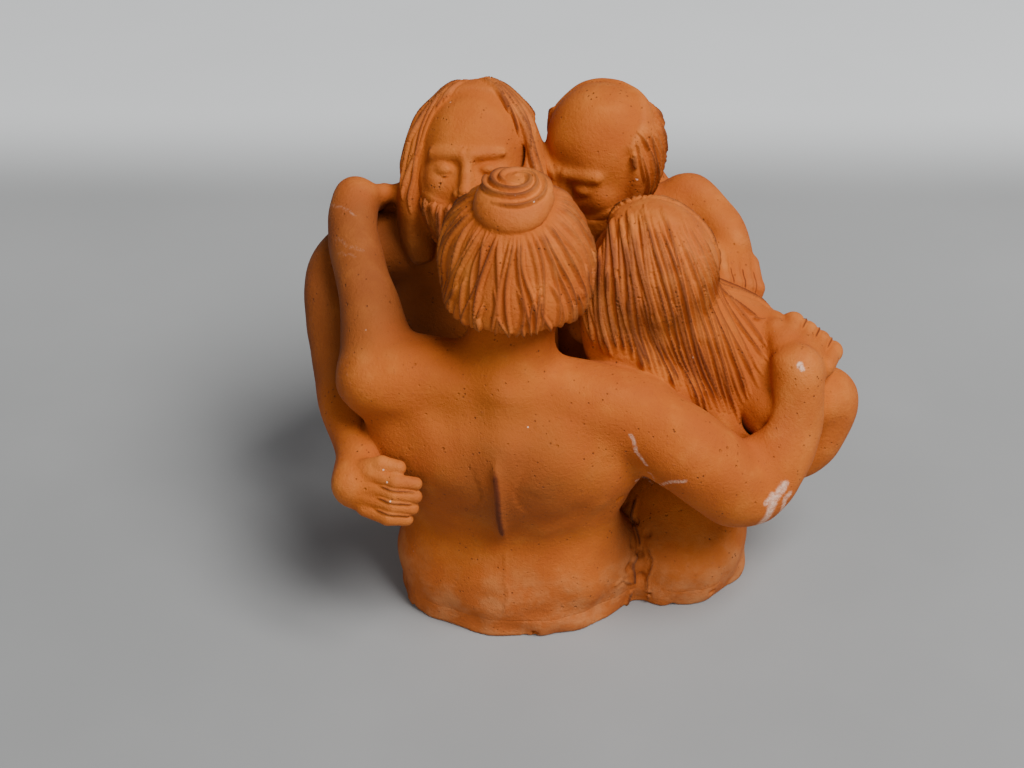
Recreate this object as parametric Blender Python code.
"""Circle of friends: four embracing half-figures, hand-built in terracotta.

The ring stands on one pat of clay.  Each figure is a torso, a head, a skin of
hair, two coil arms and two hands, pressed on in that order.  Every piece is cut
back by the pieces that were there before it, with a hair's gap between them.

Frame: metres, +Z up, origin on the underside at the axis of the ring.  The
front figure sits at -Y and shows its back to -Y.
"""
import math

import bmesh
import bpy
import numpy as np
from mathutils import Euler, Matrix, Vector

MM = 0.001

# ---- driving sizes, in millimetres -------------------------------------------
CLEARANCE = 0.3            # gap between two pieces that are pressed together

RING_RADIUS = 33.0         # ring axis to the middle of each torso's seat
BODY_HEIGHT = 100.0        # ground to the nape of the front figure
PAT_THICKNESS = 7.0        # the pat of clay under the ring
PAT_MARGIN = 0.8           # how far the pat shows round the torsos' seats

SEAT_HALF_WIDTH = 40.0     # torso at the seat, across the back
SEAT_HALF_DEPTH = 28.5     # torso at the seat, spine to belly
WAIST_HALF_WIDTH = 33.0
WAIST_HALF_DEPTH = 19.0
CHEST_HALF_WIDTH = 39.0
CHEST_HALF_DEPTH = 22.0
SHOULDER_HALF_WIDTH = 33.0  # neck to the middle of the shoulder ball
SHOULDER_DROP = 9.0        # nape down to the shoulder balls of a figure that doesn't shrug
NECK_RADIUS = 14.0
FOOT_HEIGHT = 10.0         # ground to the middle of the seat's lowest roll
HIP_HEIGHT = 20.0          # the next four are for a figure of height 1
WAIST_HEIGHT = 38.0
CHEST_HEIGHT = 66.0
NAPE_HEIGHT = 94.0
NAPE_SET_BACK = 2.0        # the neck leaves the shoulders this far in from the back
YOKE_DROP = 8.0            # nape down to the middle of the roll across the shoulders
COLLAR_DROP = 12.0         # nape down to the top of the chest
THROAT_DROP = 6.0          # nape down to the root of the neck
TORSO_ROLLS = (11, 12, 14, 17, 12)   # half heights of the rolls: foot, hip, waist, chest, collar

HEAD_HALF_WIDTH = 19.0
HEAD_HALF_DEPTH = 21.5
HEAD_HALF_HEIGHT = 25.0
HAIR_THICKNESS = 4.0       # skin of clay laid over the scalp
BEARD_THICKNESS = 2.4
BUN_RADIUS = 12.5
BUN_THICKNESS = 8.0
BUN_TILT = 18              # degrees

ARM_RADIUS = 10.5          # coil arm at the middle of the upper arm
WRIST_RADIUS = 8.0
HAND_LENGTH = 27.0
HAND_HALF_WIDTH = 8.8
HAND_HALF_THICKNESS = 4.6
FINGER_RADIUS = 2.9
HEEL_SWELL = 1.0           # the heel of the hand is this much thicker than the palm

# How fine the clay is worked before it is thinned to the faces each piece needs
WORKING_GRAIN = 1.5
SPONGED = {"pat": 8, "torso": 16, "head": 3, "hair": 3, "bun": 2, "beard": 2, "arm": 10, "hand": 1}
COIL_STEP = 0.45           # balls along a coil, in shares of its thinnest radius
FACES = {"pat": 340, "torso": 480, "head": 300, "hair": 350, "bun": 160, "beard": 150,
         "arm": 280, "hand": 300}

# Fired clay, by part: slightly different firing tones of one terracotta
TONES = {"pat": (0.46, 0.17, 0.055), "torso": (0.50, 0.165, 0.045), "head": (0.52, 0.18, 0.055),
         "hair": (0.47, 0.16, 0.050), "bun": (0.50, 0.19, 0.080), "beard": (0.48, 0.16, 0.050),
         "arm": (0.50, 0.17, 0.050), "hand": (0.51, 0.175, 0.052)}
CLAY_ROUGHNESS = 0.82

UP = np.array((0.0, 0.0, 1.0))
DOWN = -UP
SAME_PLACE = 1e-6          # metres: a wire cut takes points this close as on its plane
WELD = 2e-6                # metres: points this close are joined after pressing
CREASE = 50                # degrees: sharper edges stay sharp


# ---- the clay ----------------------------------------------------------------
def clay(kind):
    """The fired terracotta of one kind of piece."""
    material = bpy.data.materials.get("terracotta_" + kind)
    if material is None:
        material = bpy.data.materials.new("terracotta_" + kind)
        material.use_nodes = True
        shader = material.node_tree.nodes["Principled BSDF"]
        shader.inputs["Base Color"].default_value = (*TONES[kind], 1.0)
        shader.inputs["Roughness"].default_value = CLAY_ROUGHNESS
        shader.inputs["Metallic"].default_value = 0.0
        material.diffuse_color = (*TONES[kind], 1.0)
    return material


def smooth_path(points, count):
    """Points on one smooth curve through the given ones (Catmull-Rom)."""
    knots = [np.array(p, float) for p in points]
    knots = [2 * knots[0] - knots[1]] + knots + [2 * knots[-1] - knots[-2]]
    path = []
    for step in np.linspace(0, len(points) - 1, count):
        i = min(int(step), len(points) - 2)
        t = step - i
        a, b, c, d = knots[i:i + 4]
        path.append(0.5 * (2 * b + (c - a) * t + (2 * a - 5 * b + 4 * c - d) * t ** 2
                           + (3 * b - a - 3 * c + d) * t ** 3))
    return path


class Lump:
    """Soft clay being added to: overlapping balls that are later worked into one."""

    def __init__(self):
        self.bm = bmesh.new()

    def ball(self, centre, radii, turn=Matrix.Identity(3)):
        """One ball or egg, in millimetres."""
        size = Matrix.Diagonal(Vector(np.broadcast_to(radii, 3) * MM)).to_4x4()
        place = Matrix.Translation(Vector(centre) * MM) @ turn.to_4x4() @ size
        bmesh.ops.create_icosphere(self.bm, subdivisions=3, radius=1.0, matrix=place)

    def coil(self, points, radii, turn=Matrix.Identity(3)):
        """A rolled coil that swells and thins along a smooth path."""
        radii = [np.broadcast_to(r, 3) for r in radii]
        length = sum(np.linalg.norm(np.subtract(b, a)) for a, b in zip(points, points[1:]))
        thinnest = min(min(r) for r in radii)
        count = max(4, int(length / (COIL_STEP * thinnest)))
        for point, radius in zip(smooth_path(points, count), smooth_path(radii, count)):
            self.ball(point, radius, turn)


def evaluated(obj):
    """The object's mesh with its modifiers applied."""
    graph = bpy.context.evaluated_depsgraph_get()
    return bpy.data.meshes.new_from_object(obj.evaluated_get(graph))


def largest_body(bm):
    """Delete every loose crumb and keep the largest body."""
    bm.verts.ensure_lookup_table()
    unseen = set(bm.verts)
    bodies = []
    while unseen:
        stack = [unseen.pop()]
        body = set(stack)
        while stack:
            for edge in stack.pop().link_edges:
                for vert in edge.verts:
                    if vert not in body:
                        body.add(vert)
                        stack.append(vert)
        unseen -= body
        bodies.append(body)
    bodies.sort(key=len)
    for body in bodies[:-1]:
        bmesh.ops.delete(bm, geom=list(body), context="VERTS")


def work(name, lump, kind):
    """Work a lump into one skin, smooth it and thin it to the faces it needs."""
    mesh = bpy.data.meshes.new(name)
    lump.bm.to_mesh(mesh)
    lump.bm.free()
    obj = bpy.data.objects.new(name, mesh)
    bpy.context.scene.collection.objects.link(obj)
    remesh = obj.modifiers.new("work", "REMESH")
    remesh.mode = "VOXEL"
    remesh.voxel_size = WORKING_GRAIN * MM
    smooth = obj.modifiers.new("sponge", "SMOOTH")
    smooth.factor = 0.5
    smooth.iterations = SPONGED[kind]
    obj.modifiers.new("cut_faces", "TRIANGULATE")
    worked = evaluated(obj)
    obj.modifiers.clear()
    obj.data = worked
    thin = obj.modifiers.new("thin", "DECIMATE")
    thin.ratio = min(1.0, FACES[kind] / len(worked.polygons))
    obj.data = evaluated(obj)
    obj.modifiers.clear()
    obj.data.materials.clear()
    obj.data.materials.append(clay(kind))
    return obj


# ---- the four figures --------------------------------------------------------
# The places below are written for this ring and this height, in millimetres
MODEL_RING = 33.0
MODEL_HEIGHT = 100.0

# around: where the seat is on the ring.  turn: the way the back faces.  broad:
# breadth against the plain sizes.  shrug: how far the left and right shoulders
# are raised.  Heads are placed from the ring's axis; look is the way the face
# looks, nod lifts it and lean tips it sideways, in degrees.  hair: thickness of
# the skin of hair against the plain one.
FIGURES = {
    "front": dict(around=-122, turn=-95, chest=(-22, -36), height=1.0, broad=1.2, shrug=(4, -6),
                  head=(-18, -21, 123), look=85, nod=-4, lean=0, hair=1.2),
    "right": dict(around=-10, turn=22, chest=(58, 4), height=0.86, broad=0.78, shrug=(-1, -3),
                  head=(21, -6, 107), look=165, nod=8, lean=12, hair=0.85),
    "back": dict(around=60, turn=66, chest=(13, 46), height=1.10, broad=0.72, shrug=(12, 2),
                 head=(10, 36, 132), look=-135, nod=-12, lean=0, hair=0.45),
    "left": dict(around=130, turn=92, chest=(-33, 38), height=1.06, broad=0.94, shrug=(4, 9),
                 head=(-32, 31, 131), look=-98, nod=24, lean=4, hair=0.62),
}

# Each arm's own points after the shoulder with its thickness there against the
# plain arm, then the middle of the hand, the way its fingers point, the way the
# back of the hand faces, and the wrist and the hand against the plain ones.
ARMS = {
    "front_left": dict(bends=[(-66, -12, 106, 0.88), (-72, 12, 116, 0.84)], hand=(-67, 32, 116),
                       fingers=(0.35, 0.75, -0.6), back=(-0.35, 0.5, 0.8), wrist=1.0, size=1.0),
    "front_right": dict(bends=[(38, -45, 68, 1.35), (56, -43, 53, 1.16), (69, -30, 68, 1.08)],
                        hand=(76, -13, 87), fingers=(0.3, 0.82, -0.05), back=(0.4, -0.3, 0.86),
                        wrist=1.1, size=1.12),
    "right_left": dict(bends=[(84, -13, 67, 1.08), (77, -17, 50, 0.95), (56, -18, 44, 0.9)],
                       hand=(34, -12, 48), fingers=(-0.95, 0.2, 0.1), back=(0.2, 0.9, 0.3),
                       wrist=1.0, size=1.0),
    "right_right": dict(bends=[(56, 45, 64, 0.86), (50, 58, 58, 0.84)], hand=(34, 67, 58),
                        fingers=(-0.95, 0.05, 0.1), back=(0.1, 0.95, 0.1), wrist=1.0, size=1.0),
    "back_left": dict(bends=[(40, 38, 116, 0.8), (50, 28, 110, 0.8)], hand=(54, 12, 101),
                      fingers=(0.1, -0.85, -0.5), back=(0.5, -0.2, 0.8), wrist=1.0, size=1.0),
    "back_right": dict(bends=[(-24, 66, 84, 0.9), (-44, 64, 68, 0.86)], hand=(-62, 48, 62),
                       fingers=(-0.6, -0.75, 0.0), back=(-0.7, 0.6, 0.2), wrist=1.0, size=1.0),
    "left_left": dict(bends=[(4, 60, 116, 0.9), (22, 68, 108, 0.86)], hand=(40, 64, 96),
                      fingers=(0.8, -0.1, -0.5), back=(0.3, 0.9, 0.4), wrist=1.0, size=1.0),
    "left_right": dict(bends=[(-80, 16, 98, 0.86), (-76, -14, 74, 0.86), (-68, -38, 64, 0.82)],
                       hand=(-61, -57, 62), fingers=(0.92, -0.38, -0.1), back=(-0.35, -0.88, 0.35),
                       wrist=0.9, size=0.86),
}


def ring(x, y, z):
    """A point of the reference ring, carried along with the ring and body sizes."""
    wide = RING_RADIUS / MODEL_RING
    return np.array([x * wide, y * wide, z * BODY_HEIGHT / MODEL_HEIGHT])


def torso_axes(figure):
    """Unit vectors to the figure's right and out of its back."""
    turn = math.radians(figure["turn"])
    return (np.array([-math.sin(turn), math.cos(turn), 0.0]),
            np.array([math.cos(turn), math.sin(turn), 0.0]))


def seat(figure):
    """Middle of the torso's seat, on the ring."""
    around = math.radians(figure["around"])
    return np.array([math.cos(around), math.sin(around), 0.0]) * RING_RADIUS


def seat_half_width(figure):
    """Half the seat across the back: a broader figure has a slightly broader seat."""
    return SEAT_HALF_WIDTH * (0.7 + 0.3 * figure["broad"])


def chest(figure):
    """Middle of the chest."""
    return ring(*figure["chest"], CHEST_HEIGHT * figure["height"])


def nape(figure):
    """Where the neck leaves the shoulders."""
    _, out = torso_axes(figure)
    x, y = figure["chest"]
    return ring(x, y, NAPE_HEIGHT * figure["height"]) - out * NAPE_SET_BACK


def shoulder(figure, side):
    """Middle of a shoulder ball; side is +1 on the figure's right."""
    right, _ = torso_axes(figure)
    lift = figure["shrug"][(side + 1) // 2] - SHOULDER_DROP
    return nape(figure) + right * side * SHOULDER_HALF_WIDTH * figure["broad"] + UP * lift


def shoulder_radius(figure):
    """Shoulder balls, and the arms where they start: thicker on a broader figure."""
    return ARM_RADIUS * (1.0 + 0.25 * figure["broad"])


def head_turn(figure):
    """Turns the head's own frame: +Y is its face and +Z its crown."""
    return (Euler((0, 0, math.radians(figure["look"] - 90))).to_matrix()
            @ Euler((math.radians(figure["nod"]), 0, 0)).to_matrix()
            @ Euler((0, math.radians(figure["lean"]), 0)).to_matrix())


def head_point(figure, x, y, z):
    """A point in the head's own frame, given as shares of the head's half sizes."""
    local = Vector(HEAD_HALF_SIZE * (x, y, z))
    return ring(*figure["head"]) + np.array(head_turn(figure) @ local)


def sliced(obj, cuts):
    """Wire off what lies beyond each plane, given by a point in millimetres and a normal."""
    bm = bmesh.new()
    bm.from_mesh(obj.data)
    for point, normal in cuts:
        cut = bmesh.ops.bisect_plane(bm, geom=bm.verts[:] + bm.edges[:] + bm.faces[:],
                                     dist=SAME_PLACE, plane_co=Vector(point) * MM,
                                     plane_no=Vector(normal), clear_outer=True)
        rim = [e for e in cut["geom_cut"] if isinstance(e, bmesh.types.BMEdge)]
        bmesh.ops.contextual_create(bm, geom=rim)
    bmesh.ops.triangulate(bm, faces=bm.faces[:])
    bm.to_mesh(obj.data)
    bm.free()
    return obj


def trimmed(obj, figure, edges):
    """Hair or beard cut back to planes given in the head's own frame."""
    turn = head_turn(figure)
    return sliced(obj, [(head_point(figure, *point), turn @ Vector(normal)) for point, normal in edges])


def make_pat():
    """The pat of clay that the ring stands on, lobed after the seats."""
    lump = Lump()
    level = PAT_THICKNESS * 0.5
    lump.ball(UP * level, (RING_RADIUS, RING_RADIUS, PAT_THICKNESS * 1.2))
    for figure in FIGURES.values():
        turn = Euler((0, 0, math.radians(figure["turn"] + 90))).to_matrix()
        size = (seat_half_width(figure) + PAT_MARGIN, SEAT_HALF_DEPTH + PAT_MARGIN, PAT_THICKNESS * 1.5)
        lump.ball(seat(figure) + UP * level, size, turn)
    return sliced(work("pat", lump, "pat"), [(UP * 0, DOWN), (UP * PAT_THICKNESS, UP)])


def make_torso(name, figure):
    """Seat, waist, chest, shoulders and neck, thumbed up out of one block."""
    turn = Euler((0, 0, math.radians(figure["turn"] + 90))).to_matrix()
    low, mid, top = seat(figure), chest(figure), nape(figure)
    high = BODY_HEIGHT / MODEL_HEIGHT * figure["height"]
    broad = figure["broad"]
    waist = (low + mid * (1, 1, 0)) * 0.5 + UP * WAIST_HEIGHT * high
    base = seat_half_width(figure)
    across = [(base, SEAT_HALF_DEPTH), (base - 1, SEAT_HALF_DEPTH - 1),
              (WAIST_HALF_WIDTH * broad * 0.92, WAIST_HALF_DEPTH),
              (CHEST_HALF_WIDTH * broad, CHEST_HALF_DEPTH),
              (SHOULDER_HALF_WIDTH * broad, CHEST_HALF_DEPTH * 0.7)]
    lump = Lump()
    lump.coil([low + UP * FOOT_HEIGHT, low + UP * HIP_HEIGHT * high, waist, mid, top - UP * COLLAR_DROP],
              [(*size, roll) for size, roll in zip(across, TORSO_ROLLS)], turn)
    yoke = shoulder_radius(figure)
    lump.coil([shoulder(figure, -1), top - UP * YOKE_DROP, shoulder(figure, 1)],
              [yoke * 1.05, yoke, yoke * 1.05])
    throat = head_point(figure, *THROAT)
    lump.coil([top - UP * THROAT_DROP, (top + throat) * 0.5, throat],
              [NECK_RADIUS * 1.2, NECK_RADIUS, NECK_RADIUS * 0.95])
    return sliced(work(name + "_torso", lump, "torso"), [(UP * (PAT_THICKNESS + CLEARANCE), DOWN)])


def add_ball(lump, figure, ball, grow=0.0):
    """One ball of a head, from the tables, grown by the clay laid over it."""
    middle, shares = ball
    lump.ball(head_point(figure, *middle), HEAD_HALF_SIZE * shares + grow, head_turn(figure))


def make_head(name, figure):
    """Skull, jaw, chin and a plain nose."""
    lump = Lump()
    for ball in (SKULL, JAW, CHIN):
        add_ball(lump, figure, ball)
    lump.coil([head_point(figure, *point) for point in NOSE], NOSE_RADII)
    return work(name + "_head", lump, "head")


# Balls of a head: the middle and the radii of each, in shares of the head's half sizes
HEAD_HALF_SIZE = np.array([HEAD_HALF_WIDTH, HEAD_HALF_DEPTH, HEAD_HALF_HEIGHT])
SKULL = ((0, -0.08, 0.14), (1.0, 0.92, 0.86))
JAW = ((0, 0.20, -0.30), (0.80, 0.76, 0.70))
CHIN = ((0, 0.62, -0.72), (0.34, 0.30, 0.22))
HAIR_AT_NAPE = ((0, -0.35, -0.15), (0.92, 0.8, 0.75))
BEARD_AT_JAW = ((0, 0.20, -0.34), (0.80, 0.76, 0.72))
BEARD_AT_CHIN = ((0, 0.62, -0.80), (0.40, 0.34, 0.30))
THROAT = (0, -0.15, -0.55)
BUN_SEAT = (0, -0.40, 1.02)
NOSE = ((0, 0.84, 0.10), (0, 1.03, -0.24))
NOSE_RADII = (2.4, 3.6)

# Locks of long hair.  The right figure's go over its shoulder: each starts at a point
# of the head, in shares of its half sizes, then follows points of the reference ring.
RIGHT_LOCKS = [((0, -0.1, 0.1), [(31, -8, 94), (44, -10, 82), (54, -14, 72), (56, -23, 60)],
                [(19, 18, 18), (22, 19, 15), (23, 17, 14), (19, 14, 13), (9, 8, 7)]),
               (None, [(38, -2, 98), (54, -4, 88), (64, -15, 77), (62, -24, 67)],
                [(14, 14, 11), (14, 14, 10), (13, 13.5, 12.5), (9, 9, 9)]),
               ((-0.55, 0.40, 0.35), [(13, -20, 98), (24, -24, 84), (40, -26, 70), (50, -28, 60)],
                [(9, 9, 10), (11, 8, 12), (13, 8, 12), (12, 7, 10), (7, 6, 6)])]
# The left figure's hang down both sides of its face and down its back, all in shares
LEFT_LOCKS = [([(-0.80, -0.1, 0.3), (-1.04, -0.02, -0.35), (-1.06, -0.10, -0.975), (-1.04, -0.20, -1.5)],
               [(6, 14, 10), (6, 13, 10), (6.5, 10, 9), (5.5, 7, 6)]),
              ([(0.80, -0.1, 0.3), (1.04, -0.02, -0.35), (1.06, -0.10, -0.728), (1.04, -0.20, -1.12)],
               [(6, 14, 10), (6, 13, 10), (6.5, 10, 9), (5.5, 7, 6)]),
              ([(0, -0.6, 0.1), (0, -0.85, -0.9), (0, -0.9, -1.7)],
               [(18, 12, 14), (18, 8, 12), (14, 5, 8)])]

# Planes the hair and beards are cut back to: a point in shares of the head's half
# sizes and the way out, both in the head's own frame
HAIRLINES = {"front": [((0, 0.28, 0.62), (0, 1.0, 0.15)), ((0, -0.9, -0.26), (0, 0.12, -1.0))],
             "right": [((0, 0.62, 0.70), (0, 1.0, 0.1))],
             "back": [((0, 0.20, 0.2), (0, 1.0, 0.1)), ((0, -0.1, 0.62), (0, 0.45, 1.0)),
                      ((0, -0.3, -0.62), (0, 0.1, -1.0))],
             "left": [((0, 0.30, 0.6), (0, 1.0, 0.25))]}
BEARD_EDGES = [((0, 0.5, -0.36), (0, 0.25, 1.0)), ((0, 0.05, -0.5), (0, -1.0, 0.1))]


def make_hair(name, figure):
    """Each head of hair, as a skin or as a skin with long locks hanging from it."""
    thickness = HAIR_THICKNESS * figure["hair"]
    lump = Lump()
    add_ball(lump, figure, SKULL, thickness)
    if name == "front":
        add_ball(lump, figure, HAIR_AT_NAPE, thickness)
    if name == "right":
        for root, points, radii in RIGHT_LOCKS:
            start = [head_point(figure, *root)] if root else []
            lump.coil(start + [ring(*point) for point in points], radii)
    if name == "left":
        for points, radii in LEFT_LOCKS:
            lump.coil([head_point(figure, *point) for point in points], radii, head_turn(figure))
    return trimmed(work(name + "_hair", lump, "hair"), figure, HAIRLINES[name])


def make_bun(figure):
    """The flat coiled bun on the front figure's crown."""
    lump = Lump()
    lump.ball(head_point(figure, *BUN_SEAT), (BUN_RADIUS, BUN_RADIUS, BUN_THICKNESS),
              Euler((math.radians(BUN_TILT), 0, 0)).to_matrix())
    return work("front_bun", lump, "bun")


def make_beard(name, figure):
    """A skin of clay over the jaw and chin, cut back below the mouth and before the ears."""
    lump = Lump()
    for ball in (BEARD_AT_JAW, BEARD_AT_CHIN):
        add_ball(lump, figure, ball, BEARD_THICKNESS)
    return trimmed(work(name + "_beard", lump, "beard"), figure, BEARD_EDGES)


# Shares of a hand's length and half width, measured from the middle of the hand
WRIST_AT = 0.42            # back to the end of the arm
FINGER_REACH = 0.47        # forward to the tip of the longest finger
FINGER_SPACING = 0.52      # from one finger to the next, in half widths


def hand_axes(arm):
    """Finger direction, the way the back of the hand faces, and across the palm."""
    fingers = Vector(arm["fingers"]).normalized()
    back = Vector(arm["back"])
    back = (back - fingers * back.dot(fingers)).normalized()
    return fingers, back, fingers.cross(back)


def make_arm(name, arm):
    """A rolled coil from the shoulder to the wrist."""
    owner, side = name.split("_")
    start = shoulder(FIGURES[owner], 1 if side == "right" else -1)
    fingers = np.array(hand_axes(arm)[0])
    wrist = ring(*arm["hand"]) - fingers * HAND_LENGTH * arm["size"] * WRIST_AT
    path = [start] + [ring(*bend[:3]) for bend in arm["bends"]] + [wrist]
    radii = [shoulder_radius(FIGURES[owner])]
    radii += [ARM_RADIUS * bend[3] for bend in arm["bends"]] + [WRIST_RADIUS * arm["wrist"]]
    lump = Lump()
    lump.coil(path, radii)
    return work(name + "_arm", lump, "arm")


def make_hand(name, arm):
    """A flattened palm with four fingers side by side and a thumb."""
    fingers, back, across = (np.array(a) for a in hand_axes(arm))
    side = 1 if name.endswith("right") else -1
    palm = ring(*arm["hand"])
    turn = Matrix((across, fingers, back)).transposed()
    length, half_width, half_thick, finger = (size * arm["size"] for size in (
        HAND_LENGTH, HAND_HALF_WIDTH, HAND_HALF_THICKNESS, FINGER_RADIUS))
    heel = WRIST_RADIUS * arm["size"]
    lump = Lump()
    lump.ball(palm - fingers * length * 0.20, (half_width, length * 0.30, half_thick), turn)
    lump.ball(palm - fingers * length * 0.38, (heel, heel, half_thick + HEEL_SWELL), turn)
    for i in range(4):
        across_at = (i - 1.5) * half_width * FINGER_SPACING
        reach = length * (FINGER_REACH - 0.035 * abs(i - 1.4))
        knuckle = palm + across * across_at + back * (half_thick - finger)
        tip = palm + across * across_at * 1.05 + fingers * reach - back * finger * 0.76
        lump.coil([knuckle - fingers * finger * 1.4, knuckle + fingers * reach * 0.45, tip],
                  [finger, finger * 1.08, finger * 0.9])
    root = palm - fingers * length * 0.25 - across * side * half_width * 0.8
    lump.coil([root, root + (fingers * 1.7 - across * side * 1.2) * finger,
               root + (fingers * 3.8 - across * side * 1.55 - back * 0.35) * finger],
              [finger * 1.3, finger * 1.15, finger])
    return work(name + "_hand", lump, "hand")


# ---- pressing the pieces together --------------------------------------------
def grown_copy(obj):
    """A hidden cutter: the piece as made, grown by the clearance."""
    cutter = bpy.data.objects.new(obj.name + "_cutter", obj.data.copy())
    bpy.context.scene.collection.objects.link(cutter)
    swell = cutter.modifiers.new("clearance", "DISPLACE")
    swell.strength = CLEARANCE * MM
    swell.mid_level = 0.0
    cutter.data = evaluated(cutter)
    cutter.modifiers.clear()
    cutter.display_type = "WIRE"
    cutter.hide_render = True
    return cutter


def box_of(obj):
    points = np.array([v.co for v in obj.data.vertices])
    return points.min(axis=0), points.max(axis=0)


def meet(a, b):
    (a_low, a_high), (b_low, b_high) = box_of(a), box_of(b)
    return bool(np.all(a_low < b_high) and np.all(b_low < a_high))


def press(pieces):
    """Cut each piece by those already there, as soft clay gives way to firmer clay."""
    cutters = [grown_copy(piece) for piece in pieces]
    for index, piece in enumerate(pieces):
        for cutter in cutters[:index]:
            if meet(piece, cutter):
                cut = piece.modifiers.new("press", "BOOLEAN")
                cut.operation = "DIFFERENCE"
                cut.solver = "EXACT"
                cut.object = cutter
        piece.data = evaluated(piece)
        piece.modifiers.clear()
        bm = bmesh.new()
        bm.from_mesh(piece.data)
        bmesh.ops.remove_doubles(bm, verts=bm.verts[:], dist=WELD)
        bmesh.ops.dissolve_degenerate(bm, edges=bm.edges[:], dist=WELD)
        largest_body(bm)
        bmesh.ops.triangulate(bm, faces=bm.faces[:])
        bm.to_mesh(piece.data)
        bm.free()
        piece.data.shade_smooth()
        piece.data.set_sharp_from_angle(angle=math.radians(CREASE))
    for cutter in cutters:
        bpy.data.objects.remove(cutter)


def build():
    for obj in list(bpy.data.objects):
        bpy.data.objects.remove(obj)
    pieces = [make_pat()]
    pieces += [make_torso(name, figure) for name, figure in FIGURES.items()]
    pieces += [make_head(name, figure) for name, figure in FIGURES.items()]
    pieces += [make_hair(name, figure) for name, figure in FIGURES.items()]
    pieces.append(make_bun(FIGURES["front"]))
    pieces += [make_beard(name, FIGURES[name]) for name in ("back", "left")]
    pieces += [make_arm(name, arm) for name, arm in ARMS.items()]
    pieces += [make_hand(name, arm) for name, arm in ARMS.items()]
    press(pieces)


build()
